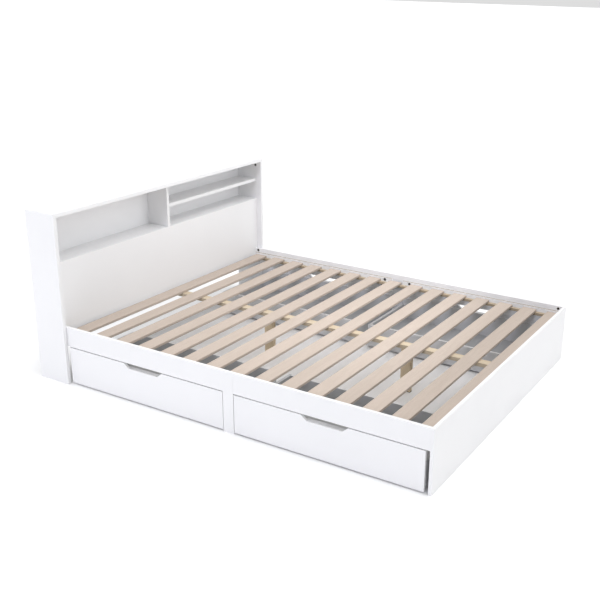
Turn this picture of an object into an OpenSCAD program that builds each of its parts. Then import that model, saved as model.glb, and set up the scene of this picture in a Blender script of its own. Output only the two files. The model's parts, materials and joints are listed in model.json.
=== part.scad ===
// Platform bed with a bookcase headboard, two drawers on each long side and a slatted base.
// +X runs across the bed, +Y runs towards the headboard and +Z is up, in millimetres.
// The origin is the middle of the footprint, on the floor.

/* [Overall] */
// Width over the two side rails
bed_w = 1640; // [1300:5:2000]
// Length between the footboard and the headboard's front panel
inner_l = 2010; // [1700:5:2500]
// Height of the side rails and the footboard
rail_h = 300; // [250:1:400]
// Thickness of the side rails
rail_t = 15; // [12:0.5:22]
// Thickness of the footboard
foot_t = 15; // [12:0.5:25]

/* [Side rails] */
// Height of the header above the drawers
header_h = 100; // [80:1:130]
// Width of the post between the two drawers
post_w = 57; // [40:1:90]
// How much longer the foot section's bay is than the head section's bay
bay_extra = 8; // [0:1:11]
// Gap of the seam between the two rail sections
seam_gap = 0.5; // [0.3:0.1:2]

/* [Headboard] */
// Height of the headboard
head_h = 870; // [730:1:1100]
// Depth of the headboard
head_d = 190; // [150:1:300]
// Thickness of the headboard's boards
head_t = 18; // [15:0.5:25]
// Thickness of the headboard's back panel
back_t = 15; // [5:0.5:18]
// Setback of the front panel from the headboard's front edge
panel_recess = 35; // [20:1:60]
// Extra setback of the middle shelf
shelf_setback = 6; // [0:1:20]
// Height of the open compartments
open_h = 232; // [180:1:320]
// Height of the front panel's lower edge above the floor
panel_foot = 205; // [180:1:230]
// Clearance between a rail and the headboard's side
rail_clear = 2; // [1:0.5:5]

/* [Slatted base] */
// Number of slats
slat_count = 15; // [10:1:20]
// Width of a slat
slat_w = 76; // [50:1:90]
// Thickness of a slat
slat_t = 14; // [12:0.5:15]
// Depth of the slats' top below the rail's top
slat_drop = 34; // [28:1:40]
// Gap between the first slat and the headboard's front panel
slat_gap_head = 18; // [0:1:25]
// End clearance of a slat
slat_clear = 2; // [1:0.5:8]
// Thickness of the carrier board inside each rail
carrier_t = 15; // [12:0.5:22]
// Depth of the carrier's top edge below the rail's top
carrier_drop = 26; // [22:1:32]
// Height of the carriers' lower edge above the header's
carrier_rise = 2; // [0:1:2]
// Gap between the foot section's carrier and the post
carrier_gap_foot = 11; // [3:1:20]
// Gap between the head section's carrier and the post
carrier_gap_head = 5; // [3:1:20]
// Width of the ledger strip that carries the slats' ends
ledger_w = 20; // [15:1:45]
// Height of the ledger strip
ledger_h = 15; // [12:1:24]

/* [Centre support] */
// Width of the centre rail
spine_w = 45; // [35:1:70]
// Thickness of the centre rail
spine_t = 20; // [15:0.5:28]
// Width of a centre leg along the bed
leg_w = 57; // [35:1:80]
// Thickness of a centre leg across the bed
leg_t = 20; // [15:0.5:35]
// Thickness of the glide under a leg
glide_t = 3; // [2:0.5:6]
// Slat gap that the leg nearer the headboard stands under
leg_gap_head = 5; // [3:1:6]
// Slat gap that the leg nearer the footboard stands under
leg_gap_foot = 11; // [7:1:12]

/* [Drawers] */
// Depth of a drawer from front face to back face
drawer_d = 432; // [330:1:520]
// Thickness of a drawer front
front_t = 15; // [12:0.5:20]
// Gap over the drawer fronts
front_gap_top = 5.5; // [2:0.5:8]
// Gap under the drawer fronts
front_gap_floor = 8; // [5:0.5:12]
// Gap between a drawer front and the post
front_gap_post = 3; // [1:0.5:6]
// Gap between a foot drawer's front and the footboard
front_gap_end = 19; // [13:0.5:30]
// Length of the finger notch along its open edge
notch_w = 232; // [120:1:320]
// Run of each slanted end of the notch
notch_slant = 27; // [5:1:40]
// Depth of the finger notch
notch_d = 22.5; // [15:0.5:40]
// Thickness of the drawer box boards
box_t = 15; // [10:0.5:18]
// Setback of the drawer box from the front's ends
box_inset = 8; // [6:1:30]
// Height of the drawer sides above the drawer bottom
box_h = 87; // [60:1:105]
// Gap between the box's boards and the floor
box_gap_floor = 10; // [6:0.5:14]
// Thickness of the drawer bottom
bottom_t = 8; // [4:0.5:10]
// Depth of the groove that holds the drawer bottom
groove_d = 5; // [3:0.5:6]
// Clearance of the drawer bottom in its groove
groove_clear = 0.2; // [0.1:0.05:0.5]

/* [Castors] */
// Radius of a castor wheel
wheel_r = 15; // [12:0.5:17]
// Width of a castor wheel
wheel_w = 14; // [8:1:20]
// Radius of a castor axle
axle_r = 2.5; // [2:0.25:3]
// Radial clearance of a wheel on its axle
axle_clear = 0.05; // [0.02:0.01:0.1]
// Thickness of a castor housing's sheet
sheet_t = 2.5; // [1.5:0.5:3]
// Gap between a wheel and its housing's plate
crown_gap = 7.5; // [3:0.5:10]
// Gap between a wheel and its housing's cheeks
cheek_gap = 1; // [0.5:0.25:2]
// Distance from a drawer's face or back to its castor axles
castor_inset = 55; // [35:1:90]
// Distance from a drawer side to its castors' middle
castor_side = 60; // [35:1:120]

/* [Fittings] */
// Radius of a cam lock
cam_r = 7.5; // [6:0.25:9]
// Depth of a cam lock
cam_d = 10; // [7:0.5:10.5]
// Distance of a cam lock from the edge that it joins
cam_inset = 24; // [18:1:34]
// Drop of a rail's fittings below the rail's top
cam_drop = 14; // [11:0.5:14]
// Distance of a headboard side's cam locks from the side's front and back edges
side_cam_inset = 41; // [32:1:60]
// Depth of a headboard bolt in the headboard's side
side_bite = 11; // [6:0.5:12]
// Clearance around a cam lock, a bolt or a screw
fitting_clear = 0.25; // [0.1:0.05:0.5]
// Radius of a seam bolt's head
bolt_head_r = 8; // [5:0.5:9]
// Height of a seam bolt's head
bolt_head_h = 5; // [3:0.5:6]
// Radius of a seam bolt's shank
bolt_r = 3; // [2:0.5:4]
// Depth of a seam bolt in the rail
bolt_bite = 9; // [6:0.5:10]
// Distance of a seam bolt from the middle of the carriers' gap
bolt_offset = 81; // [60:1:110]
// Drop of a seam bolt below the carrier's top
bolt_drop = 11; // [10:1:16]
// Thickness of the steel joint plates and brackets
plate_t = 3; // [2:0.5:4]
// Height of the steel joint plates and corner angles
plate_h = 18; // [14:0.5:19]
// Length of a joint plate
plate_l = 240; // [220:5:320]
// Distance of a plate's inner screws from its middle
screw_near = 62; // [50:1:75]
// Distance of a plate's outer screws from its middle
screw_far = 100; // [85:1:105]
// Depth of a plate's screws in the carrier
screw_bite = 11; // [6:0.5:11]
// Length of a corner angle's legs
angle_l = 40; // [30:1:60]
// Length of the centre rail's brackets
saddle_l = 30; // [20:1:50]
// Clearance between the centre rail and its brackets
bracket_clear = 0.5; // [0.25:0.25:2]
// Radius of a plate screw's head
screw_head_r = 4; // [3:0.25:5]
// Height of a plate screw's head
screw_head_h = 2; // [1:0.25:3]
// Radius of a plate screw's shank
screw_r = 2; // [1.5:0.25:2.5]

/* [Hidden] */
$fn = 48;

white = [0.95, 0.95, 0.96];
slat_beige = [0.86, 0.79, 0.73];
pine = [0.86, 0.77, 0.6];
steel = [0.62, 0.63, 0.65];
dark_zinc = [0.16, 0.15, 0.15];
castor_grey = [0.3, 0.3, 0.32];
cut = 1; // overrun of a cutter past the face that it opens

// Lengthwise positions, from the foot to the head
bed_l = foot_t + inner_l + head_d - panel_recess;
y_foot = -bed_l / 2;                    // footboard's outer face
y_deck = y_foot + foot_t;               // footboard's inner face
y_panel = y_deck + inner_l;             // headboard's front panel, front face
y_head = y_panel - panel_recess;        // headboard's front edge
y_back = y_head + head_d;               // headboard's back face
y_seam = y_deck + (inner_l - panel_recess - post_w + bay_extra) / 2;
y_post = y_seam + post_w;               // head-side edge of the post
y_carrier_foot = y_seam - carrier_gap_foot;
y_carrier_head = y_post + carrier_gap_head;
y_joint = (y_carrier_foot + y_carrier_head) / 2;

// Crosswise positions, from the middle outwards
x_rail = bed_w / 2;                     // rail's outer face
x_rail_in = x_rail - rail_t;
x_carrier = x_rail_in - carrier_t;      // carrier's inner face
x_side = x_rail + rail_clear;           // headboard side's inner face
x_head = x_side + head_t;               // headboard side's outer face

// Heights
z_header = rail_h - header_h;
z_slat = rail_h - slat_drop;            // slats' top
z_ledger = z_slat - slat_t;             // ledger's and centre rail's top
z_carrier = rail_h - carrier_drop;
z_carrier_foot = z_header + carrier_rise;
z_open = head_h - head_t - open_h;      // top of the shelf under the compartments
z_under_top = head_h - head_t;
z_plate = z_ledger - ledger_h - 1 - plate_h;
z_screw = z_plate + plate_h / 2;
z_bolt = z_carrier - bolt_drop;

// Fittings
bolt_sink = bolt_head_h + 2;            // depth of a bolt head's recess
head_room = 1;                          // clearance around a bolt head

// Slats, counted from the headboard
slat_pitch = (inner_l - slat_gap_head - slat_w) / (slat_count - 1);
head_slats = ceil(slat_count / 2);
function slat_y(i) = y_panel - slat_gap_head - slat_w - i * slat_pitch;
function gap_mid(i) = slat_y(i - 1) - (slat_pitch - slat_w) / 2;

// Drawers: the front of a foot drawer and of a head drawer have the same width
front_w = y_seam - front_gap_post - y_deck - front_gap_end;
y_foot_front = y_deck + front_gap_end;
y_head_front = y_post + front_gap_post;
z_front_top = z_header - front_gap_top;
z_notch = z_front_top - notch_d;
x_front_in = x_rail - front_t;
x_inner_front = x_front_in - rail_t;    // inner face of the board behind the front
x_box_back = x_rail - drawer_d;
z_bottom = 2 * wheel_r + crown_gap + sheet_t; // underside of the drawer bottom
box_foot = box_gap_floor;
box_top = z_bottom + bottom_t + box_h;
x_axle_outer = x_rail - castor_inset;
x_axle_inner = x_box_back + castor_inset;

// Castor housing
fork_w = wheel_w + 2 * (cheek_gap + sheet_t);
fork_l = 1.6 * wheel_r;
boss_r = axle_r + 2.5;                  // round end of a cheek around the axle
plate_lip = 6;                          // overhang of a housing's plate past its cheeks

// Draws its children on the right, or mirrored on the left
module on_side(side) {
    if (side < 0) mirror([1, 0, 0]) children();
    else children();
}

module both_sides() {
    for (side = [-1, 1]) on_side(side) children();
}

// A box given by its lowest and highest corners
module block(low, high) {
    translate(low) cube(high - low);
}

// A cylinder along +X from a point
module rod_x(at, r, length) {
    translate(at) rotate([0, 90, 0]) cylinder(r = r, h = length);
}

// ---- Headboard ----

// Places of the cam locks in a headboard side, under the top board
side_cam_y = [y_head + side_cam_inset, y_back - side_cam_inset];
z_side_cam = z_under_top - cam_inset;

// Place of the bolt that joins a rail to the headboard's side
y_head_bolt = y_head + panel_recess / 2;
z_rail_fitting = rail_h - cam_drop;

module headboard_side(side) {
    color(white) on_side(side) difference() {
        block([x_side, y_head, 0], [x_head, y_back, z_under_top]);
        for (y = side_cam_y)
            rod_x([x_side - cut, y, z_side_cam], cam_r + fitting_clear,
                cam_d + fitting_clear + cut);
        rod_x([x_side - cut, y_head_bolt, z_rail_fitting], bolt_r + fitting_clear,
            side_bite + fitting_clear + cut);
    }
}

module headboard_top() {
    color(white) block([-x_head, y_head, z_under_top], [x_head, y_back, head_h]);
}

module headboard_shelf() {
    color(white) block([-x_side, y_panel + head_t, z_open - head_t],
        [x_side, y_back - back_t, z_open]);
}

module headboard_divider() {
    color(white) block([-head_t / 2, y_panel, z_open],
        [head_t / 2, y_back - back_t, z_under_top]);
}

module headboard_middle_shelf() {
    z_middle = z_open + (open_h - head_t) / 2;
    color(white) block([head_t / 2, y_panel + shelf_setback, z_middle],
        [x_side, y_back - back_t, z_middle + head_t]);
}

module headboard_front_panel() {
    color(white) block([-x_side, y_panel, panel_foot],
        [x_side, y_panel + head_t, z_open]);
}

module headboard_back_panel() {
    color(white) block([-x_side, y_back - back_t, panel_foot],
        [x_side, y_back, z_under_top]);
}

// ---- Footboard and side rails ----

module footboard() {
    color(white) block([-x_rail, y_foot, 0], [x_rail, y_deck, rail_h]);
}

// Blind hole in a rail for the bolt beside the seam
module seam_hole(y) {
    rod_x([x_rail_in - cut, y, z_bolt], bolt_r + fitting_clear, bolt_bite + fitting_clear + cut);
}

// The head section is a header with the post in one piece
module rail_head(side) {
    color(white) on_side(side) difference() {
        union() {
            block([x_rail_in, y_seam, z_header], [x_rail, y_panel, rail_h]);
            block([x_rail_in, y_seam, 0], [x_rail, y_post, rail_h]);
        }
        seam_hole(y_joint + bolt_offset);
        rod_x([x_rail_in - cut, y_head_bolt, z_rail_fitting], bolt_head_r + head_room,
            bolt_sink + cut);
        rod_x([x_rail_in - cut, y_head_bolt, z_rail_fitting], bolt_r + fitting_clear,
            rail_t + 2 * cut);
    }
}

module rail_foot(side) {
    color(white) on_side(side) difference() {
        block([x_rail_in, y_deck, z_header], [x_rail, y_seam - seam_gap, rail_h]);
        seam_hole(y_joint - bolt_offset);
        rod_x([x_rail_in - cut, y_deck + cam_inset, z_rail_fitting], cam_r + fitting_clear,
            cam_d + fitting_clear + cut);
    }
}

// ---- Slatted base ----

// Screw places along a joint plate
plate_screw_y = [for (f = [-1, 1], d = [screw_near, screw_far]) y_joint + f * d];

module carrier(y_from, y_to, y_bolt) {
    difference() {
        block([x_carrier, y_from, z_carrier_foot], [x_rail_in, y_to, z_carrier]);
        rod_x([x_carrier - cut, y_bolt, z_bolt], bolt_head_r + head_room, bolt_sink + cut);
        rod_x([x_carrier - cut, y_bolt, z_bolt], bolt_r + fitting_clear,
            carrier_t + 2 * cut);
        for (y = plate_screw_y)
            rod_x([x_carrier - cut, y, z_screw], screw_r + fitting_clear,
                screw_bite + fitting_clear + cut);
    }
}

module ledger_carriers() {
    color(white) both_sides() {
        carrier(y_deck, y_carrier_foot, y_joint - bolt_offset);
        carrier(y_carrier_head, y_panel, y_joint + bolt_offset);
    }
}

module slat_ledgers() {
    color(pine) both_sides() {
        block([x_carrier - ledger_w, y_deck, z_ledger - ledger_h],
            [x_carrier, y_joint - seam_gap / 2, z_ledger]);
        block([x_carrier - ledger_w, y_joint + seam_gap / 2, z_ledger - ledger_h],
            [x_carrier, y_panel, z_ledger]);
    }
}

module slats(first, last) {
    x_end = x_carrier - slat_clear;
    color(slat_beige) for (i = [first:last])
        block([-x_end, slat_y(i), z_ledger], [x_end, slat_y(i) + slat_w, z_slat]);
}

// ---- Centre support ----

spine_foot = z_ledger - spine_t;
leg_places = [gap_mid(leg_gap_head), gap_mid(leg_gap_foot)];

module centre_rail() {
    color(pine) block([-spine_w / 2, y_deck + plate_t + bracket_clear, spine_foot],
        [spine_w / 2, y_panel - plate_t - bracket_clear, z_ledger]);
}

module centre_legs() {
    color(pine) for (y = leg_places)
        block([-leg_t / 2, y - leg_w / 2, glide_t], [leg_t / 2, y + leg_w / 2, spine_foot]);
}

module leg_glides() {
    color(dark_zinc) for (y = leg_places)
        block([-leg_t / 2, y - leg_w / 2, 0], [leg_t / 2, y + leg_w / 2, glide_t]);
}

// ---- Steel fittings ----

// A saddle that holds one end of the centre rail, drawn for the foot end at y = 0
module saddle() {
    half = spine_w / 2 + bracket_clear;
    difference() {
        block([-half - plate_t, 0, spine_foot - plate_t],
            [half + plate_t, saddle_l, z_ledger - 1]);
        block([-half, plate_t, spine_foot], [half, saddle_l + cut, z_ledger + cut]);
    }
}

// An angle in the corner between a carrier and the board at its end, at y = 0
module corner_angle() {
    block([x_carrier - plate_t, 0, z_plate], [x_carrier, angle_l, z_plate + plate_h]);
    block([x_carrier - angle_l, 0, z_plate], [x_carrier, plate_t, z_plate + plate_h]);
}

module frame_brackets() {
    color(steel) {
        translate([0, y_deck, 0]) saddle();
        translate([0, y_panel, 0]) mirror([0, 1, 0]) saddle();
        both_sides() {
            translate([0, y_deck, 0]) corner_angle();
            translate([0, y_panel, 0]) mirror([0, 1, 0]) corner_angle();
        }
    }
}

module rail_joint_plates() {
    color(steel) both_sides() difference() {
        block([x_carrier - plate_t, y_joint - plate_l / 2, z_plate],
            [x_carrier, y_joint + plate_l / 2, z_plate + plate_h]);
        for (y = plate_screw_y)
            rod_x([x_carrier - plate_t - cut, y, z_screw], screw_r + fitting_clear,
                plate_t + 2 * cut);
    }
}

// A bolt whose head lies in a recess that opens at x and whose shank ends at x_end
module bolt(x, y, z, x_end) {
    x_seat = x + bolt_sink;
    rod_x([x_seat - bolt_head_h, y, z], bolt_head_r, bolt_head_h);
    rod_x([x_seat, y, z], bolt_r, x_end - x_seat);
}

module plate_screw(y) {
    x_seat = x_carrier - plate_t;
    rod_x([x_seat - screw_head_h, y, z_screw], screw_head_r, screw_head_h);
    rod_x([x_seat, y, z_screw], screw_r, plate_t + screw_bite);
}

module frame_bolts() {
    color(dark_zinc) both_sides() {
        for (way = [-1, 1])
            bolt(x_carrier, y_joint + way * bolt_offset, z_bolt, x_rail_in + bolt_bite);
        bolt(x_rail_in, y_head_bolt, z_rail_fitting, x_side + side_bite);
        for (y = plate_screw_y) plate_screw(y);
    }
}

// A cam lock lies in its blind hole, just under the surface, with a screwdriver slot
module cam_lock(x, y, z) {
    sink = 1;
    slot_w = 2;
    slot_d = 2.5;
    slot_l = 1.4 * cam_r;
    difference() {
        rod_x([x + sink, y, z], cam_r, cam_d - sink);
        block([x, y - slot_l / 2, z - slot_w / 2],
            [x + sink + slot_d, y + slot_l / 2, z + slot_w / 2]);
    }
}

module cam_locks() {
    color(dark_zinc) both_sides() {
        cam_lock(x_rail_in, y_deck + cam_inset, z_rail_fitting);
        for (y = side_cam_y) cam_lock(x_side, y, z_side_cam);
    }
}

// ---- Drawers: y is the foot-side end of the drawer's front ----

// Outline of a drawer front: a rectangle with a trapezoid notch in its upper edge
module front_outline() {
    mid = front_w / 2;
    half = notch_w / 2;
    polygon([
        [0, front_gap_floor],
        [front_w, front_gap_floor],
        [front_w, z_front_top],
        [mid + half, z_front_top],
        [mid + half - notch_slant, z_notch],
        [mid - half + notch_slant, z_notch],
        [mid - half, z_front_top],
        [0, z_front_top]
    ]);
}

module drawer_front(side, y) {
    color(white) on_side(side) translate([x_front_in, y, 0])
        rotate([90, 0, 90]) linear_extrude(front_t) front_outline();
}

// The space that the drawer bottom's edge takes in the boards around it
module bottom_groove(y) {
    block([x_box_back + box_t - groove_d, y + box_inset + box_t - groove_d,
        z_bottom - groove_clear],
        [x_inner_front + groove_d, y + front_w - box_inset - box_t + groove_d,
        z_bottom + bottom_t + groove_clear]);
}

module drawer_inner_front(side, y) {
    color(white) on_side(side) difference() {
        block([x_inner_front, y + box_inset, box_foot],
            [x_front_in, y + front_w - box_inset, z_notch]);
        bottom_groove(y);
    }
}

module drawer_side(side, y, y_board) {
    color(white) on_side(side) difference() {
        block([x_box_back, y_board, box_foot], [x_inner_front, y_board + box_t, box_top]);
        bottom_groove(y);
    }
}

module drawer_side_foot(side, y) {
    drawer_side(side, y, y + box_inset);
}

module drawer_side_head(side, y) {
    drawer_side(side, y, y + front_w - box_inset - box_t);
}

module drawer_back(side, y) {
    color(white) on_side(side) difference() {
        block([x_box_back, y + box_inset + box_t, box_foot],
            [x_box_back + box_t, y + front_w - box_inset - box_t, box_top]);
        bottom_groove(y);
    }
}

module drawer_bottom(side, y) {
    edge = groove_d - groove_clear;
    color(white) on_side(side)
        block([x_box_back + box_t - edge, y + box_inset + box_t - edge, z_bottom],
            [x_inner_front + edge, y + front_w - box_inset - box_t + edge,
            z_bottom + bottom_t]);
}

// Middles of a drawer's castors along the bed
function castor_ys(y) = [
    y + box_inset + castor_side,
    y + front_w - box_inset - castor_side
];

// Outline of a housing's cheek, seen along the axle
module cheek_outline() {
    translate([-fork_l / 2, wheel_r]) square([fork_l, z_bottom - sheet_t - wheel_r]);
    translate([0, wheel_r]) circle(r = boss_r);
}

// A castor housing: a plate under the drawer bottom, two cheeks and a fixed axle
module castor(x, y) {
    for (way = [-1, 1])
        translate([x, y + way * (fork_w - sheet_t) / 2 + sheet_t / 2, 0])
            rotate([90, 0, 0]) linear_extrude(sheet_t) cheek_outline();
    block([x - fork_l / 2 - plate_lip, y - fork_w / 2 - plate_lip, z_bottom - sheet_t],
        [x + fork_l / 2 + plate_lip, y + fork_w / 2 + plate_lip, z_bottom]);
    translate([x, y + fork_w / 2, wheel_r]) rotate([90, 0, 0])
        cylinder(r = axle_r, h = fork_w);
}

module drawer_castors(side, y) {
    color(castor_grey) on_side(side)
        for (x = [x_axle_outer, x_axle_inner], y_mid = castor_ys(y)) castor(x, y_mid);
}

module wheel_pair(side, x, y) {
    tread = 1;
    color(dark_zinc) on_side(side) for (y_mid = castor_ys(y))
        translate([x, y_mid + wheel_w / 2, wheel_r]) rotate([90, 0, 0])
            rotate_extrude() polygon([
                [axle_r + axle_clear, 0],
                [wheel_r - tread, 0],
                [wheel_r, tread],
                [wheel_r, wheel_w - tread],
                [wheel_r - tread, wheel_w],
                [axle_r + axle_clear, wheel_w]
            ]);
}

module wheels_outer(side, y) {
    wheel_pair(side, x_axle_outer, y);
}

module wheels_inner(side, y) {
    wheel_pair(side, x_axle_inner, y);
}

left = -1;
right = 1;
hd = y_head_front;
ft = y_foot_front;

headboard_side(left);  // headboard_side_left
headboard_side(right);  // headboard_side_right
headboard_top();
headboard_shelf();
headboard_divider();
headboard_middle_shelf();
headboard_front_panel();
headboard_back_panel();
footboard();
rail_head(left);  // rail_left_head
rail_foot(left);  // rail_left_foot
rail_head(right);  // rail_right_head
rail_foot(right);  // rail_right_foot
ledger_carriers();
slat_ledgers();
slats(0, head_slats - 1);  // slats_head_section
slats(head_slats, slat_count - 1);  // slats_foot_section
centre_rail();
centre_legs();
leg_glides();
frame_brackets();
rail_joint_plates();
frame_bolts();
cam_locks();

drawer_front(left, hd);  // drawer_left_head_front
drawer_inner_front(left, hd);  // drawer_left_head_inner_front
drawer_side_foot(left, hd);  // drawer_left_head_side_foot
drawer_side_head(left, hd);  // drawer_left_head_side_head
drawer_back(left, hd);  // drawer_left_head_back
drawer_bottom(left, hd);  // drawer_left_head_bottom
drawer_castors(left, hd);  // drawer_left_head_castors
wheels_outer(left, hd);  // drawer_left_head_wheels_outer
wheels_inner(left, hd);  // drawer_left_head_wheels_inner

drawer_front(left, ft);  // drawer_left_foot_front
drawer_inner_front(left, ft);  // drawer_left_foot_inner_front
drawer_side_foot(left, ft);  // drawer_left_foot_side_foot
drawer_side_head(left, ft);  // drawer_left_foot_side_head
drawer_back(left, ft);  // drawer_left_foot_back
drawer_bottom(left, ft);  // drawer_left_foot_bottom
drawer_castors(left, ft);  // drawer_left_foot_castors
wheels_outer(left, ft);  // drawer_left_foot_wheels_outer
wheels_inner(left, ft);  // drawer_left_foot_wheels_inner

drawer_front(right, hd);  // drawer_right_head_front
drawer_inner_front(right, hd);  // drawer_right_head_inner_front
drawer_side_foot(right, hd);  // drawer_right_head_side_foot
drawer_side_head(right, hd);  // drawer_right_head_side_head
drawer_back(right, hd);  // drawer_right_head_back
drawer_bottom(right, hd);  // drawer_right_head_bottom
drawer_castors(right, hd);  // drawer_right_head_castors
wheels_outer(right, hd);  // drawer_right_head_wheels_outer
wheels_inner(right, hd);  // drawer_right_head_wheels_inner

drawer_front(right, ft);  // drawer_right_foot_front
drawer_inner_front(right, ft);  // drawer_right_foot_inner_front
drawer_side_foot(right, ft);  // drawer_right_foot_side_foot
drawer_side_head(right, ft);  // drawer_right_foot_side_head
drawer_back(right, ft);  // drawer_right_foot_back
drawer_bottom(right, ft);  // drawer_right_foot_bottom
drawer_castors(right, ft);  // drawer_right_foot_castors
wheels_outer(right, ft);  // drawer_right_foot_wheels_outer
wheels_inner(right, ft);  // drawer_right_foot_wheels_inner
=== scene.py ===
"""Looks of a white platform bed with a bookcase headboard, slats and four rolling drawers.

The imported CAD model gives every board, slat and fitting. This script adds the materials, softened
edges, small hardware details, floor, light and camera. Lengths are in metres.
"""

import json
import math

import bpy
from mathutils import Matrix, Vector


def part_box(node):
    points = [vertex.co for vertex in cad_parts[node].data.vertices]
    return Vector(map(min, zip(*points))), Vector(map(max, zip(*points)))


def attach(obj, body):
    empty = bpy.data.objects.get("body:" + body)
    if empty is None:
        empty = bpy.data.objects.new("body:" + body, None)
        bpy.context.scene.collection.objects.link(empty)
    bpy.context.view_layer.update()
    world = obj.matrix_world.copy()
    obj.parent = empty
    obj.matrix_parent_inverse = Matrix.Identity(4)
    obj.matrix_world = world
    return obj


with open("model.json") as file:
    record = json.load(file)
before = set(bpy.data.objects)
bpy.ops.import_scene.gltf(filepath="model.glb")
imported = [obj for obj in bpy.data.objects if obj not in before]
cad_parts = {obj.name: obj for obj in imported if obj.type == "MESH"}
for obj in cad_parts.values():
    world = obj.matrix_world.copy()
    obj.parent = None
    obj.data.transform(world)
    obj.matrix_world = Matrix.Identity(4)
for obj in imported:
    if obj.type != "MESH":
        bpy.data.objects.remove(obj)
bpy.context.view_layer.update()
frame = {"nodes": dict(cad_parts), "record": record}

NODES = frame["nodes"]
DRAWERS = [f"drawer_{side}_{end}" for side in ("left", "right") for end in ("head", "foot")]

# ---------------------------------------------------------------- node tree helpers


def new_material(name):
    """A material with an empty Principled surface, as (material, tree, shader)."""
    material = bpy.data.materials.new(name)
    material.use_nodes = True
    tree = material.node_tree
    tree.nodes.clear()
    shader = tree.nodes.new("ShaderNodeBsdfPrincipled")
    output = tree.nodes.new("ShaderNodeOutputMaterial")
    tree.links.new(shader.outputs[0], output.inputs["Surface"])
    return material, tree, shader


def add(tree, kind, inputs=None, **settings):
    """Adds a node; an input is a plain value or another node's output socket."""
    node = tree.nodes.new("ShaderNode" + kind)
    for key, value in settings.items():
        setattr(node, key, value)
    for key, value in (inputs or {}).items():
        if isinstance(value, bpy.types.NodeSocket):
            tree.links.new(value, node.inputs[key])
        else:
            node.inputs[key].default_value = value
    return node


def math_node(tree, operation, a, b=0.0):
    return add(tree, "Math", {0: a, 1: b}, operation=operation).outputs[0]


def place(tree, scale=(1, 1, 1), shift=None):
    """Coordinates in the part's frame, scaled along each axis."""
    source = add(tree, "TexCoord").outputs["Object"]
    if shift is not None:
        source = add(tree, "VectorMath", {0: source, 1: shift}, operation="ADD").outputs[0]
    return add(tree, "Mapping", {"Vector": source, "Scale": scale}).outputs[0]


def noise(tree, where, scale, detail=2.0, rough=0.5, distortion=0.0):
    return add(tree, "TexNoise", {
        "Vector": where, "Scale": scale, "Detail": detail, "Roughness": rough,
        "Distortion": distortion}).outputs["Fac"]


def spread(tree, value, low, high, to_low=0.0, to_high=1.0):
    return add(tree, "MapRange", {
        "Value": value, "From Min": low, "From Max": high, "To Min": to_low,
        "To Max": to_high}).outputs["Result"]


def blend(tree, factor, first, second, mode="MIX"):
    """Mixes two colours, each a tuple or a socket."""
    node = add(tree, "Mix", data_type="RGBA", blend_type=mode)
    for socket, value in ((node.inputs[0], factor), (node.inputs[6], first),
                          (node.inputs[7], second)):
        if isinstance(value, bpy.types.NodeSocket):
            tree.links.new(value, socket)
        else:
            socket.default_value = value if isinstance(value, float) else (*value, 1.0)
    return node.outputs[2]


def finish_surface(tree, shader, colour, roughness, height, depth, strength=1.0):
    tree.links.new(colour, shader.inputs["Base Color"])
    tree.links.new(roughness, shader.inputs["Roughness"])
    bump = add(tree, "Bump", {"Height": height, "Distance": depth, "Strength": strength})
    tree.links.new(bump.outputs[0], shader.inputs["Normal"])


# ---------------------------------------------------------------- materials

WHITE_LOW = (0.800, 0.800, 0.805)
WHITE_HIGH = (0.820, 0.820, 0.825)
# Drawer bottoms: painted shade, a mid grey for the dim floor of each drawer under the slats.
BOTTOM_SHADE_LOW = (0.42, 0.425, 0.435)
BOTTOM_SHADE_HIGH = (0.46, 0.465, 0.475)
# Drawer box boards: painted shade, a light grey below the white foil for the shaded inside of the
# boxes.
BOX_SHADE_LOW = (0.60, 0.605, 0.615)
BOX_SHADE_HIGH = (0.63, 0.635, 0.645)
# Painted highlight on the upward faces of the drawers' inner fronts and backs, brighter than the
# white foil.
PAINTED_TOP_HIGHLIGHT = (0.86, 0.86, 0.86)
# Bare chipboard on the carriers' upper edges: partly its own colour, partly painted contact shade
# that darkens and greys it.
CHIPBOARD_SHADE_LOW = (0.30, 0.265, 0.225)
CHIPBOARD_SHADE_HIGH = (0.56, 0.515, 0.46)
FLOOR_LOW = (0.90, 0.90, 0.90)
FLOOR_HIGH = (0.92, 0.92, 0.92)
FOIL_GRAIN = 0.00012            # bump depths
RAW_GRAIN = 0.00015
WOOD_PORES = 0.00025
BRUSHING = 0.00006
PEBBLING = 0.00010
FLOOR_GRAIN = 0.0002


def white_foil(tree, low=WHITE_LOW, high=WHITE_HIGH):
    """Colour, roughness and height of smooth white foil on board."""
    mottle = noise(tree, place(tree), 2.3, 3.0)
    colour = blend(tree, spread(tree, mottle, 0.3, 0.7), low, high)
    rub = noise(tree, place(tree), 14.0, 4.0)
    roughness = spread(tree, rub, 0.25, 0.75, 0.36, 0.50)
    grain = noise(tree, place(tree, (1.0, 1.0, 1.0)), 620.0, 2.0)
    return colour, roughness, grain


def board_material(name, low, high):
    material, tree, shader = new_material(name)
    finish_surface(tree, shader, *white_foil(tree, low, high), FOIL_GRAIN)
    shader.inputs["IOR"].default_value = 1.45
    return material


def is_upper_edge(tree):
    """1 on faces that look straight up, 0 elsewhere."""
    normal = add(tree, "SeparateXYZ", {0: add(tree, "NewGeometry").outputs["Normal"]})
    return math_node(tree, "GREATER_THAN", normal.outputs["Z"], 0.9)


def shaded_board_with_lit_top_material():
    """A drawer box board in painted shade grey, with a painted highlight on its upward faces."""
    material, tree, shader = new_material("box_board_painted_shade_and_top_highlight")
    colour, roughness, grain = white_foil(tree, BOX_SHADE_LOW, BOX_SHADE_HIGH)
    finish_surface(tree, shader, blend(tree, is_upper_edge(tree), colour, PAINTED_TOP_HIGHLIGHT), roughness,
                   grain, FOIL_GRAIN)
    return material


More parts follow.
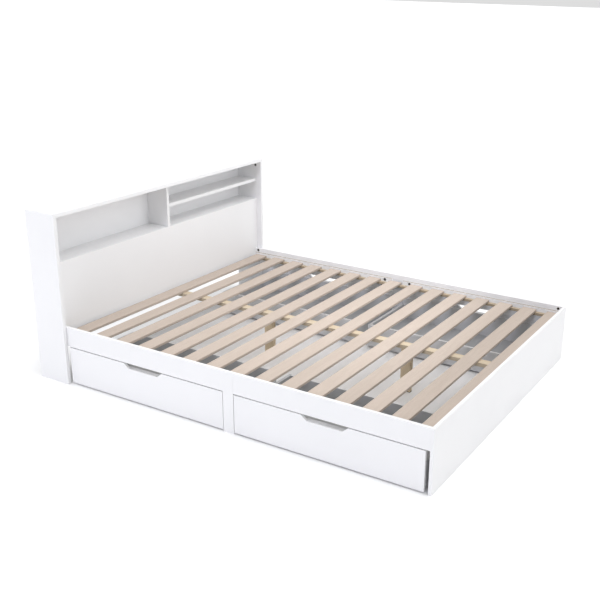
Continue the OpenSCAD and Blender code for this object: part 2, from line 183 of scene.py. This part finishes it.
def carrier_material():
    """White foil with a bare chipboard upper edge, darkened and greyed by painted contact shade."""
    material, tree, shader = new_material("white_board_chipboard_edge_painted_shade")
    colour, _, grain = white_foil(tree)
    chips = noise(tree, place(tree, (1.0, 0.35, 1.0)), 900.0, 3.0)
    chipboard_and_shade = blend(tree, spread(tree, chips, 0.35, 0.65), CHIPBOARD_SHADE_LOW, CHIPBOARD_SHADE_HIGH)
    upper = is_upper_edge(tree)
    finish_surface(tree, shader, blend(tree, upper, colour, chipboard_and_shade),
                   spread(tree, upper, 0.0, 1.0, 0.43, 0.85), grain, RAW_GRAIN)
    return material


def wood_material(name, along, tones, step, knots=0.0):
    """Planed wood with its grain along one axis.

    The tones are (dark, mid, light). The step is (axis index, pitch, origin): each strip of one
    pitch along that axis gets its own figure.
    """
    material, tree, shader = new_material(name)
    axis, pitch, origin = step
    part = add(tree, "SeparateXYZ", {0: add(tree, "TexCoord").outputs["Object"]})
    index = math_node(tree, "FLOOR", math_node(
        tree, "DIVIDE", math_node(tree, "SUBTRACT", part.outputs[axis], origin), pitch))
    draw = add(tree, "TexWhiteNoise", {"W": index}, noise_dimensions="1D")
    jump = add(tree, "VectorMath", {0: draw.outputs["Color"], 1: (3.0, 3.0, 3.0)},
               operation="MULTIPLY").outputs[0]
    stretch = [1.0 if a == along else 22.0 for a in "XYZ"]
    fibre = noise(tree, place(tree, stretch, jump), 9.0, 6.0, 0.62, 0.25)
    pores = noise(tree, place(tree, [s * (1.0 if s == 1.0 else 4.0) for s in stretch], jump),
                  30.0, 4.0, 0.55)
    figure = noise(tree, place(tree, [1.0 if a == along else 6.0 for a in "XYZ"], jump),
                   3.2, 3.0, 0.5, 0.9)
    dark, mid, light = tones
    colour = blend(tree, spread(tree, fibre, 0.32, 0.68), mid, light)
    colour = blend(tree, spread(tree, figure, 0.42, 0.70, 0.0, 0.55), colour, mid)
    colour = blend(tree, spread(tree, pores, 0.54, 0.70, 0.0, 0.50), colour, dark)
    if knots:
        cells = add(tree, "TexVoronoi", {
            "Vector": place(tree, [0.6 if a == along else 1.5 for a in "XYZ"], jump),
            "Scale": 4.2, "Randomness": 1.0}).outputs["Distance"]
        colour = blend(tree, spread(tree, cells, 0.035, 0.085, knots, 0.0), colour, dark)
    tint = spread(tree, draw.outputs["Value"], 0.0, 1.0, 0.93, 1.03)
    tinted = add(tree, "VectorMath", {0: colour, "Scale": tint}, operation="SCALE").outputs[0]
    finish_surface(tree, shader, tinted, spread(tree, fibre, 0.2, 0.8, 0.56, 0.72), pores,
                   WOOD_PORES)
    return material


def metal_material(name, low, high, roughness, along="Y"):
    material, tree, shader = new_material(name)
    brushed = noise(tree, place(tree, [2.0 if a == along else 30.0 for a in "XYZ"]), 60.0, 3.0)
    cloud = noise(tree, place(tree), 45.0, 3.0)
    colour = blend(tree, spread(tree, cloud, 0.3, 0.7), low, high)
    finish_surface(tree, shader, colour,
                   spread(tree, cloud, 0.2, 0.8, roughness, roughness + 0.18), brushed,
                   BRUSHING)
    shader.inputs["Metallic"].default_value = 1.0
    return material


def plastic_material(name, low, high, roughness):
    material, tree, shader = new_material(name)
    cloud = noise(tree, place(tree), 60.0, 2.0)
    pebble = noise(tree, place(tree), 1500.0, 2.0)
    colour = blend(tree, spread(tree, cloud, 0.3, 0.7), low, high)
    finish_surface(tree, shader, colour,
                   spread(tree, cloud, 0.2, 0.8, roughness, roughness + 0.12), pebble,
                   PEBBLING)
    return material


def floor_material():
    material, tree, shader = new_material("pale_floor")
    cloud = noise(tree, place(tree), 0.8, 3.0)
    colour = blend(tree, spread(tree, cloud, 0.3, 0.7), FLOOR_LOW, FLOOR_HIGH)
    grain = noise(tree, place(tree), 120.0, 2.0)
    finish_surface(tree, shader, colour, spread(tree, cloud, 0.2, 0.8, 0.85, 0.95), grain,
                   FLOOR_GRAIN, 0.3)
    return material


panel_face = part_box("headboard_front_panel")[0].y
slat_lows = sorted({round(v.co.y, 5) for name in ("slats_head_section", "slats_foot_section")
                    for v in NODES[name].data.vertices})
slat_pitch = slat_lows[2] - slat_lows[0]

WHITE = board_material("white_foil_board", WHITE_LOW, WHITE_HIGH)
SHADED_DRAWER_BOTTOM = board_material("drawer_bottom_painted_shade", BOTTOM_SHADE_LOW, BOTTOM_SHADE_HIGH)
SHADED_BOX = board_material("drawer_box_board_painted_shade", BOX_SHADE_LOW, BOX_SHADE_HIGH)
SHADED_BOX_LIT_TOP = shaded_board_with_lit_top_material()
CARRIER = carrier_material()
SLAT = wood_material("slat_wood", "X",
                     ((0.27, 0.205, 0.155), (0.475, 0.395, 0.332), (0.540, 0.457, 0.390)),
                     (1, slat_pitch, panel_face))
PINE = wood_material("pine_strip", "Y",
                     ((0.33, 0.23, 0.14), (0.53, 0.43, 0.30), (0.62, 0.53, 0.40)),
                     (0, 0.2, 0.1), knots=0.8)
# Slat ledgers: a darker copy of the pine, painted shade for their place under the slat ends.
SHADED_LEDGER_PINE = wood_material("pine_ledger_painted_shade", "Y",
                            ((0.24, 0.16, 0.10), (0.40, 0.31, 0.21), (0.47, 0.39, 0.28)),
                            (0, 0.2, 0.1), knots=0.8)
LEG_PINE = wood_material("pine_leg", "Z",
                         ((0.38, 0.24, 0.13), (0.63, 0.50, 0.33), (0.73, 0.61, 0.43)),
                         (1, 0.4, 0.1), knots=0.8)
ZINC = metal_material("zinc_steel", (0.52, 0.53, 0.55), (0.68, 0.69, 0.71), 0.30)
# Dark zinc for the dark fittings; the crosses on screws and cams that use it are painted recess
# shade.
DARK_ZINC_AND_RECESS_SHADE = metal_material("dark_zinc", (0.045, 0.040, 0.035), (0.10, 0.09, 0.08), 0.38, "X")
HOUSING = plastic_material("castor_housing", (0.085, 0.087, 0.092), (0.115, 0.117, 0.122), 0.42)
WHEEL = plastic_material("castor_wheel", (0.014, 0.014, 0.015), (0.028, 0.028, 0.030), 0.40)
# Black plastic of the leg glides, also used as painted shade in the bolt sockets.
BLACK_PLASTIC_AND_SOCKET_SHADE = plastic_material("leg_glide_and_socket_shade", (0.010, 0.010, 0.010), (0.020, 0.020, 0.020), 0.50)

BY_SLOT = {
    "white_board": WHITE, "slat_wood": SLAT, "pine": PINE, "zinc_steel": ZINC,
    "dark_zinc": DARK_ZINC_AND_RECESS_SHADE, "castor_housing": HOUSING, "castor_wheel": WHEEL,
    "black_plastic": BLACK_PLASTIC_AND_SOCKET_SHADE,
}
# Drawer boxes: painted shade greys, and a painted highlight on the tops of inner fronts and backs.
BOX_BOARDS = {"_bottom": SHADED_DRAWER_BOTTOM, "_side_foot": SHADED_BOX, "_side_head": SHADED_BOX,
              "_inner_front": SHADED_BOX_LIT_TOP, "_back": SHADED_BOX_LIT_TOP}
BY_NODE = {"ledger_carriers": CARRIER, "centre_legs": LEG_PINE, "slat_ledgers": SHADED_LEDGER_PINE}
BY_NODE.update({drawer + board: material for drawer in DRAWERS
                for board, material in BOX_BOARDS.items()})

# ---------------------------------------------------------------- CAD nodes

SOFT_EDGE = {"white_board": 0.0008, "slat_wood": 0.0022, "pine": 0.0015, "zinc_steel": 0.0004,
             "dark_zinc": 0.0004, "castor_housing": 0.0004, "castor_wheel": 0.0004,
             "black_plastic": 0.0006}


def dress_node(node, slot):
    """Gives a CAD node its material and, by modifiers only, softened edges."""
    node.data.materials.clear()
    node.data.materials.append(BY_NODE.get(node.name, BY_SLOT[slot]))
    weld = node.modifiers.new("weld", "WELD")
    weld.merge_threshold = 0.00001
    bevel = node.modifiers.new("soft_edges", "BEVEL")
    bevel.width = SOFT_EDGE[slot]
    bevel.segments = 3
    bevel.limit_method = "ANGLE"
    bevel.angle_limit = math.radians(40)
    bevel.use_clamp_overlap = True


for entry in frame["record"]["subparts"]:
    dress_node(NODES[entry["node"]], entry["material_slot"])

# ---------------------------------------------------------------- mesh helpers


def solid_boxes(node):
    """(lowest corner, highest corner) of each separate solid in a CAD node."""
    mesh = NODES[node].data
    keys = [tuple(round(c, 6) for c in v.co) for v in mesh.vertices]
    group = {key: key for key in keys}

    def root(key):
        while group[key] != key:
            group[key] = group[group[key]]
            key = group[key]
        return key

    for face in mesh.polygons:
        first = root(keys[face.vertices[0]])
        for index in face.vertices[1:]:
            group[root(keys[index])] = first
    solids = {}
    for key in group:
        solids.setdefault(root(key), []).append(key)
    boxes = [(Vector(map(min, zip(*points))), Vector(map(max, zip(*points))))
             for points in solids.values()]
    return sorted(boxes, key=lambda b: (round(b[0].x, 4), round(b[0].y, 4), round(b[0].z, 4)))


def facing(axis):
    """Rotation that turns +Z to an axis."""
    return Vector((0, 0, 1)).rotation_difference(Vector(axis)).to_matrix()


def lathe(profile, centre, axis, segments=32):
    """A closed turned solid. The profile is (radius, height) from the axis back to the axis."""
    turn = facing(axis)
    verts, faces, rings = [], [], []
    for radius, height in profile:
        if radius == 0:
            rings.append([len(verts)] * segments)
            verts.append(turn @ Vector((0, 0, height)) + Vector(centre))
            continue
        rings.append(list(range(len(verts), len(verts) + segments)))
        for k in range(segments):
            angle = 2 * math.pi * (k + 0.5) / segments
            point = Vector((radius * math.cos(angle), radius * math.sin(angle), height))
            verts.append(turn @ point + Vector(centre))
    for lower, upper in zip(rings, rings[1:]):
        for k in range(segments):
            n = (k + 1) % segments
            corners = [lower[k], lower[n], upper[n], upper[k]]
            face = list(dict.fromkeys(corners))
            if len(face) > 2:
                faces.append(face)
    return verts, faces


def prism(outline, centre, axis, height):
    """An outline, as points around the axis, pushed along the axis."""
    turn = facing(axis)
    count = len(outline)
    verts = [turn @ Vector((x, y, z)) + Vector(centre) for z in (0, height) for x, y in outline]
    faces = [list(range(count))[::-1], list(range(count, 2 * count))]
    faces += [[k, (k + 1) % count, count + (k + 1) % count, count + k] for k in range(count)]
    return verts, faces


def cross(arm, half):
    """Outline of a cross recess."""
    quarter = [(arm, -half), (arm, half), (half, half)]
    points = []
    for k in range(4):
        c, s = round(math.cos(k * math.pi / 2)), round(math.sin(k * math.pi / 2))
        points += [(c * x - s * y, s * x + c * y) for x, y in quarter]
    return points


def piece(name, parts, material, body, smooth=False):
    """One mesh object from (verts, faces) parts, riding on a body."""
    verts, faces = [], []
    for part_verts, part_faces in parts:
        faces += [[i + len(verts) for i in face] for face in part_faces]
        verts += part_verts
    mesh = bpy.data.meshes.new(name)
    mesh.from_pydata(verts, [], faces)
    mesh.validate()
    mesh.update()
    obj = bpy.data.objects.new(name, mesh)
    bpy.context.scene.collection.objects.link(obj)
    mesh.materials.append(material)
    for face in mesh.polygons:
        face.use_smooth = smooth
    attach(obj, body)
    return obj


# ---------------------------------------------------------------- small hardware

SINK = 0.0002                   # how far a small part starts under its surface
SCREW_R = 0.004
SCREW_RISE = 0.0006
CROSS_DEPTH = 0.0003
HEX_R = 0.0026
RECESS_LIFT = 0.00008
SCREW_ABOVE_BOTTOM = 0.028
SCREW_BELOW_TOP = 0.026
CAM_R = 0.0075
CAM_RIM_R = 0.0070
CAM_RISE = 0.0005
CAM_FROM_BACK = 0.024
CAM_FROM_FRONT = 0.039
SLOT_ARM = 0.0042
SLOT_HALF = 0.0008
CAP_RISE = 0.0005


def dome(radius, rise):
    """Profile of a shallow screw head that starts just under the surface."""
    return [(0, -SINK), (radius, -SINK), (radius, rise * 0.35), (radius * 0.86, rise * 0.8),
            (radius * 0.55, rise), (0, rise)]


def screw(centre, axis):
    return lathe(dome(SCREW_R, SCREW_RISE), centre, axis)


# Painted shade: a thin dark cross just proud of the screw head, for the shade in its recess.
def screw_cross(centre, axis):
    lifted = Vector(centre) + Vector(axis) * (SCREW_RISE - CROSS_DEPTH)
    return prism(cross(SCREW_R * 0.62, SCREW_R * 0.13), lifted, axis, CROSS_DEPTH + RECESS_LIFT)


def screws(name, places, body):
    """Round-head screws, with flat dark crosses as painted shade in their recesses."""
    piece(name, [screw(c, a) for c, a in places], ZINC, body, smooth=True)
    piece(name + "_painted_recess_shade", [screw_cross(c, a) for c, a in places], DARK_ZINC_AND_RECESS_SHADE,
          body)


def bolt_socket_shade():
    """Painted shade: flat black hexagons on the heads of the frame's bolts and screws, standing for
    their sockets.
    """
    parts = []
    for low, high in solid_boxes("frame_bolts"):
        inward = -1 if low.x > 0 else 1
        face_x = low.x if inward < 0 else high.x
        centre = (face_x - inward * SINK, (low.y + high.y) / 2, (low.z + high.z) / 2)
        hexagon = [(HEX_R * math.cos(k * math.pi / 3), HEX_R * math.sin(k * math.pi / 3))
                   for k in range(6)]
        parts.append(prism(hexagon, centre, (inward, 0, 0), SINK + RECESS_LIFT))
    piece("bolt_socket_shade", parts, BLACK_PLASTIC_AND_SOCKET_SHADE, "bed_frame")


def back_panel_screws():
    """Screws through the back panel into the shelf's and the divider's rear edges."""
    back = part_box("headboard_back_panel")[1].y
    shelf_low, shelf_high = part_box("headboard_shelf")
    divider_low, divider_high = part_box("headboard_divider")
    z_shelf = (shelf_low.z + shelf_high.z) / 2
    places = [((shelf_high.x * f, back, z_shelf), (0, 1, 0))
              for f in (-0.92, -0.56, -0.2, 0.2, 0.56, 0.92)]
    height = divider_high.z - divider_low.z
    places += [((0, back, divider_low.z + height * f), (0, 1, 0)) for f in (0.25, 0.75)]
    screws("back_panel_screws", places, "bed_frame")


def drawer_fittings(drawer):
    """Screws in the inner front and cam locks in the box sides of one drawer."""
    outward = 1 if "_right_" in drawer else -1
    low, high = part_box(drawer + "_inner_front")
    face_x = low.x if outward > 0 else high.x
    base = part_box(drawer + "_bottom")[1].z
    rows = (base + SCREW_ABOVE_BOTTOM, high.z - SCREW_BELOW_TOP)
    width = high.y - low.y
    places = [((face_x, low.y + width * f, z), (-outward, 0, 0))
              for f in (0.12, 0.37, 0.63, 0.88) for z in rows]
    screws(drawer + "_front_screws", places, drawer)
    cams, slot_shades = [], []
    for board, way in (("_side_foot", 1), ("_side_head", -1)):
        side_low, side_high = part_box(drawer + board)
        y = side_high.y if way > 0 else side_low.y
        ends = (side_high.x - CAM_FROM_BACK, side_low.x + CAM_FROM_FRONT)
        if outward < 0:
            ends = (side_low.x + CAM_FROM_BACK, side_high.x - CAM_FROM_FRONT)
        for x in ends:
            centre = Vector((x, y, (base + side_high.z) / 2))
            cams.append(lathe([(0, -SINK), (CAM_R, -SINK), (CAM_R, SINK), (CAM_RIM_R, CAM_RISE),
                               (0, CAM_RISE)], centre, (0, way, 0)))
            # Painted shade: a thin dark cross just proud of the cam, for the shade in its slot.
            slot_shades.append(prism(cross(SLOT_ARM, SLOT_HALF),
                               centre + Vector((0, way * (CAM_RISE - SINK), 0)),
                               (0, way, 0), SINK + RECESS_LIFT))
    piece(drawer + "_cam_locks", cams, ZINC, drawer, smooth=False)
    piece(drawer + "_cam_slot_shade", slot_shades, DARK_ZINC_AND_RECESS_SHADE, drawer)


def wheel_caps(node):
    """Hub caps and rims on both faces of a drawer's castor wheels."""
    parts = []
    for low, high in solid_boxes(node):
        centre = (low + high) / 2
        radius = (high.z - low.z) / 2
        for way in (-1, 1):
            y = high.y if way > 0 else low.y
            parts.append(lathe([
                (radius * 0.24, -SINK), (radius * 0.62, -SINK), (radius * 0.60, CAP_RISE),
                (radius * 0.30, CAP_RISE), (radius * 0.24, -SINK)],
                (centre.x, y, centre.z), (0, way, 0)))
    piece(node + "_caps", parts, HOUSING, node)


bolt_socket_shade()
back_panel_screws()
for drawer_name in DRAWERS:
    drawer_fittings(drawer_name)
    for line in ("_wheels_outer", "_wheels_inner"):
        wheel_caps(drawer_name + line)

# ---------------------------------------------------------------- floor, light and camera

FLOOR_HALF = 60.0
WORLD_STRENGTH = 0.73
COOL_SIDE = (0.385, 0.39, 0.42)
NEUTRAL_SIDE = (1.0, 1.0, 1.0)
SUN_STRENGTH = 1.92
SUN_SPREAD = math.radians(75)
SUN_FROM = (-0.04, -0.17, 1.0)
WINDOW_STRENGTH = 0.69
WINDOW_SPREAD = math.radians(10)
WINDOW_FROM = (-1.0, -0.10, 0.425)
WINDOW_COLOUR = (0.86, 0.875, 1.0)
FILL_COLOUR = (0.94, 0.96, 1.0)
FILLS = {                       # place, aim, size, power
    "head_side_fill": ((-4.2, 2.6, 1.7), (-0.82, 0.6, 0.15), 2.0, 12.0),
    "headboard_fill": ((0.15, -0.55, 1.2), (0.05, 1.0, 0.70), 1.2, 7.6),
}


def floor():
    corners = [(-FLOOR_HALF, -FLOOR_HALF, 0), (FLOOR_HALF, -FLOOR_HALF, 0),
               (FLOOR_HALF, FLOOR_HALF, 0), (-FLOOR_HALF, FLOOR_HALF, 0)]
    mesh = bpy.data.meshes.new("floor")
    mesh.from_pydata(corners, [], [[0, 1, 2, 3]])
    obj = bpy.data.objects.new("floor", mesh)
    bpy.context.scene.collection.objects.link(obj)
    mesh.materials.append(floor_material())


def sun_light(name, come_from, spread_angle, strength, colour=(1.0, 1.0, 1.0)):
    """A wide, soft source that lights the whole floor evenly."""
    light = bpy.data.lights.new(name, "SUN")
    light.color = colour
    light.angle = spread_angle
    light.energy = strength
    obj = bpy.data.objects.new(name, light)
    obj.rotation_euler = (-Vector(come_from)).to_track_quat("-Z", "Y").to_euler()
    bpy.context.scene.collection.objects.link(obj)


def area_light(name, place_at, aim_at, size, power):
    light = bpy.data.lights.new(name, "AREA")
    light.shape = "SQUARE"
    light.size = size
    light.energy = power
    light.color = FILL_COLOUR
    obj = bpy.data.objects.new(name, light)
    obj.location = place_at
    direction = Vector(aim_at) - Vector(place_at)
    obj.rotation_euler = direction.to_track_quat("-Z", "Y").to_euler()
    bpy.context.scene.collection.objects.link(obj)


def studio():
    """An even white surround, a little cooler on the -X side, with a soft key and a fill."""
    world = bpy.data.worlds.new("studio")
    world.use_nodes = True
    tree = world.node_tree
    background = tree.nodes["Background"]
    direction = add(tree, "SeparateXYZ", {0: add(tree, "TexCoord").outputs["Generated"]})
    cool = spread(tree, direction.outputs["X"], -1.0, 0.1, 1.0, 0.0)
    tree.links.new(blend(tree, cool, NEUTRAL_SIDE, COOL_SIDE), background.inputs["Color"])
    background.inputs["Strength"].default_value = WORLD_STRENGTH
    bpy.context.scene.world = world
    for name, (place_at, aim_at, size, power) in FILLS.items():
        area_light(name, place_at, aim_at, size, power)
    sun_light("overhead", SUN_FROM, SUN_SPREAD, SUN_STRENGTH)
    sun_light("window", WINDOW_FROM, WINDOW_SPREAD, WINDOW_STRENGTH, WINDOW_COLOUR)


AZIMUTH = math.radians(-60.152)
ELEVATION = math.radians(19.673)
ROLL = math.radians(1.107)
CAMERA_AT = Vector((-3.73042, -2.37675, 1.96359))
SENSOR = 36.0
FOCAL = 54.7805
SHIFT = (-0.08589, -0.00248)
CLIP_END = 300.0


def camera():
    back = Vector((math.sin(AZIMUTH) * math.cos(ELEVATION),
                   -math.cos(AZIMUTH) * math.cos(ELEVATION), math.sin(ELEVATION)))
    level = Vector((math.cos(AZIMUTH), math.sin(AZIMUTH), 0))
    up = back.cross(level)
    right = level * math.cos(ROLL) + up * math.sin(ROLL)
    up = up * math.cos(ROLL) - level * math.sin(ROLL)
    data = bpy.data.cameras.new("camera")
    data.sensor_width = SENSOR
    data.lens = FOCAL
    data.shift_x, data.shift_y = SHIFT
    data.clip_end = CLIP_END
    obj = bpy.data.objects.new("camera", data)
    turn = Matrix((right, up, back)).transposed().to_4x4()
    obj.matrix_world = Matrix.Translation(CAMERA_AT) @ turn
    bpy.context.scene.collection.objects.link(obj)
    bpy.context.scene.camera = obj


floor()
studio()
camera()
bpy.context.scene.view_settings.view_transform = "Standard"
